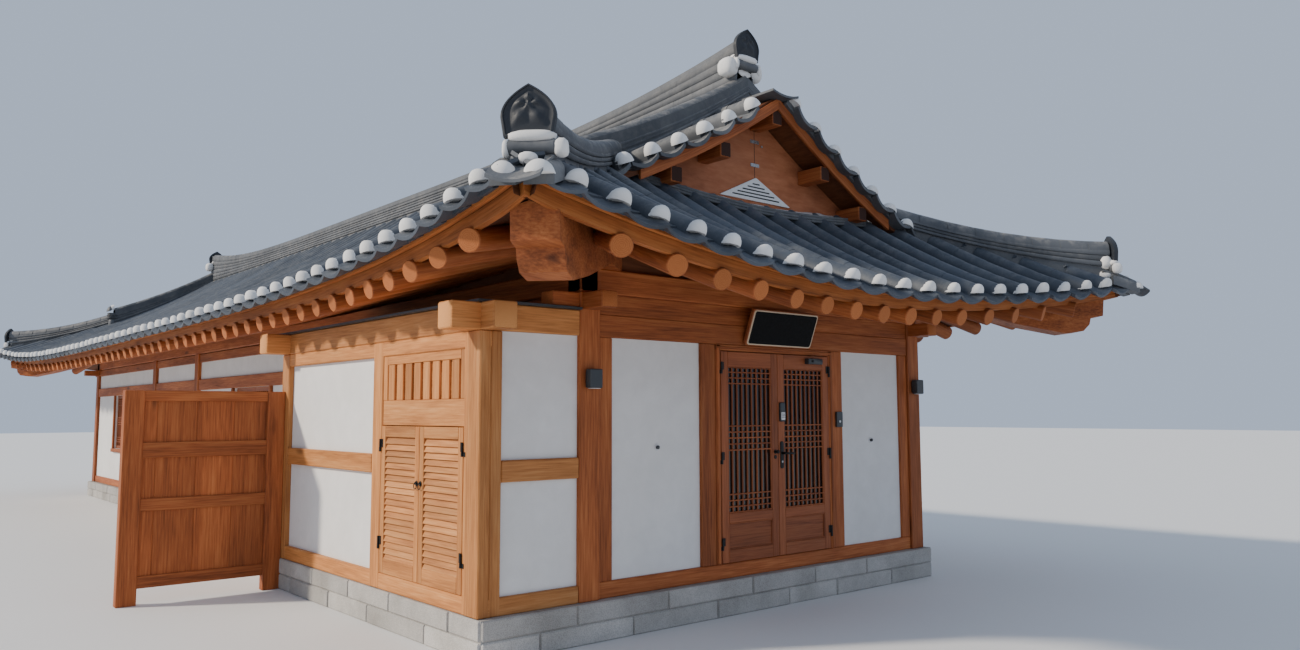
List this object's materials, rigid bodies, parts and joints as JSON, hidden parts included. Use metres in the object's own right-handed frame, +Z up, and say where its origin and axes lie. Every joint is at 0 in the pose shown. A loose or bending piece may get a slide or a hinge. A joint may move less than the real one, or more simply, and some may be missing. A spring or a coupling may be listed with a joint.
{
  "type": "hanok house",
  "caption": "One-storey timber hanok with a hip-and-gable tiled roof, lattice front doors and a low annex with louvred doors.",
  "frame": {"origin": "on the ground under the middle of the plan between the four corner columns", "axes": "+Z up, +Y along the long walls from the front door to the back, +X to the right of someone who stands inside and looks out at the back"},
  "size_m": [8.5139, 20.9912, 5.64],
  "materials": {
    "white_plaster": "smooth white lime plaster, matte",
    "dark_metal": "dark paint, satin",
    "pale_timber": "oiled pale timber",
    "frame_timber": "oiled orange-brown timber",
    "window_timber": "stained timber round dark panes",
    "roof_tile": "unglazed grey fired clay tile, matte",
    "floor_boards": "oiled boards",
    "plinth_stone": "rough-cut stone with pale mortar",
    "door_glass": "dark panes behind a lattice",
    "door_timber": "oiled timber, satin",
    "gable_boards": "red-brown boards",
    "black_lacquer": "black lacquer with a pale rim",
    "roof_bed": "bed of unglazed grey fired clay tiles"
  },
  "bodies": {
    "house": {"annex_back_panel": "white_plaster", "annex_cover": "dark_metal", "annex_frame": "pale_timber", "annex_front_panel": "white_plaster", "annex_side_panel": "white_plaster", "annex_transom": "pale_timber", "back_panel": "white_plaster", "back_timber_frame": "frame_timber", "back_window": "window_timber", "bargeboards_back": "frame_timber", "bargeboards_front": "frame_timber", "corner_ridge_back_left": "roof_tile", "corner_ridge_back_right": "roof_tile", "corner_ridge_front_left": "roof_tile", "corner_ridge_front_right": "roof_tile", "eave_purlins": "frame_timber", "floor": "floor_boards", "foundation": "plinth_stone", "front_panel_left": "white_plaster", "front_panel_right": "white_plaster", "front_timber_frame": "frame_timber", "gable_wall_back": "gable_boards", "gable_wall_front": "gable_boards", "hip_rafter_back_left": "frame_timber", "hip_rafter_back_right": "frame_timber", "hip_rafter_front_left": "frame_timber", "hip_rafter_front_right": "frame_timber", "left_panel_1": "white_plaster", "left_panel_2": "white_plaster", "left_panel_3": "white_plaster", "left_panel_4": "white_plaster", "left_timber_frame": "frame_timber", "left_window_2": "window_timber", "left_window_4": "window_timber", "main_ridge": "roof_tile", "name_board": "black_lacquer", "rafters_back": "frame_timber", "rafters_front": "frame_timber", "rafters_left": "frame_timber", "rafters_right": "frame_timber", "right_panel_1": "white_plaster", "right_panel_2": "white_plaster", "right_panel_3": "white_plaster", "right_panel_4": "white_plaster", "right_timber_frame": "frame_timber", "right_window_2": "window_timber", "right_window_4": "window_timber", "roof_back": "roof_bed", "roof_front": "roof_bed", "roof_left": "roof_bed", "roof_right": "roof_bed", "side_screen": "frame_timber"},
    "front_leaf_left": {"front_door_left": "door_timber", "front_door_glass_left": "door_glass"},
    "front_leaf_right": {"front_door_right": "door_timber", "front_door_glass_right": "door_glass", "door_lock": "dark_metal", "door_handle": "dark_metal"},
    "louver_leaf_left": {"louver_door_left": "pale_timber"},
    "louver_leaf_right": {"louver_door_right": "pale_timber"}
  },
  "joints": [
    {"name": "front_leaf_left_hinge", "type": "hinge", "parent": "house", "child": "front_leaf_left", "pos_m": [-0.743, -8.9043, 1.362], "axis": [0, 0, -1], "range_deg": [0, 100]},
    {"name": "front_leaf_right_hinge", "type": "hinge", "parent": "house", "child": "front_leaf_right", "pos_m": [0.743, -8.9043, 1.362], "axis": [0, 0, 1], "range_deg": [0, 100]},
    {"name": "louver_leaf_left_hinge", "type": "hinge", "parent": "house", "child": "louver_leaf_left", "pos_m": [-3.1843, -7.297, 1.1], "axis": [0, 0, -1], "range_deg": [0, 100]},
    {"name": "louver_leaf_right_hinge", "type": "hinge", "parent": "house", "child": "louver_leaf_right", "pos_m": [-3.1843, -8.663, 1.1], "axis": [0, 0, 1], "range_deg": [0, 100]}
  ]
}
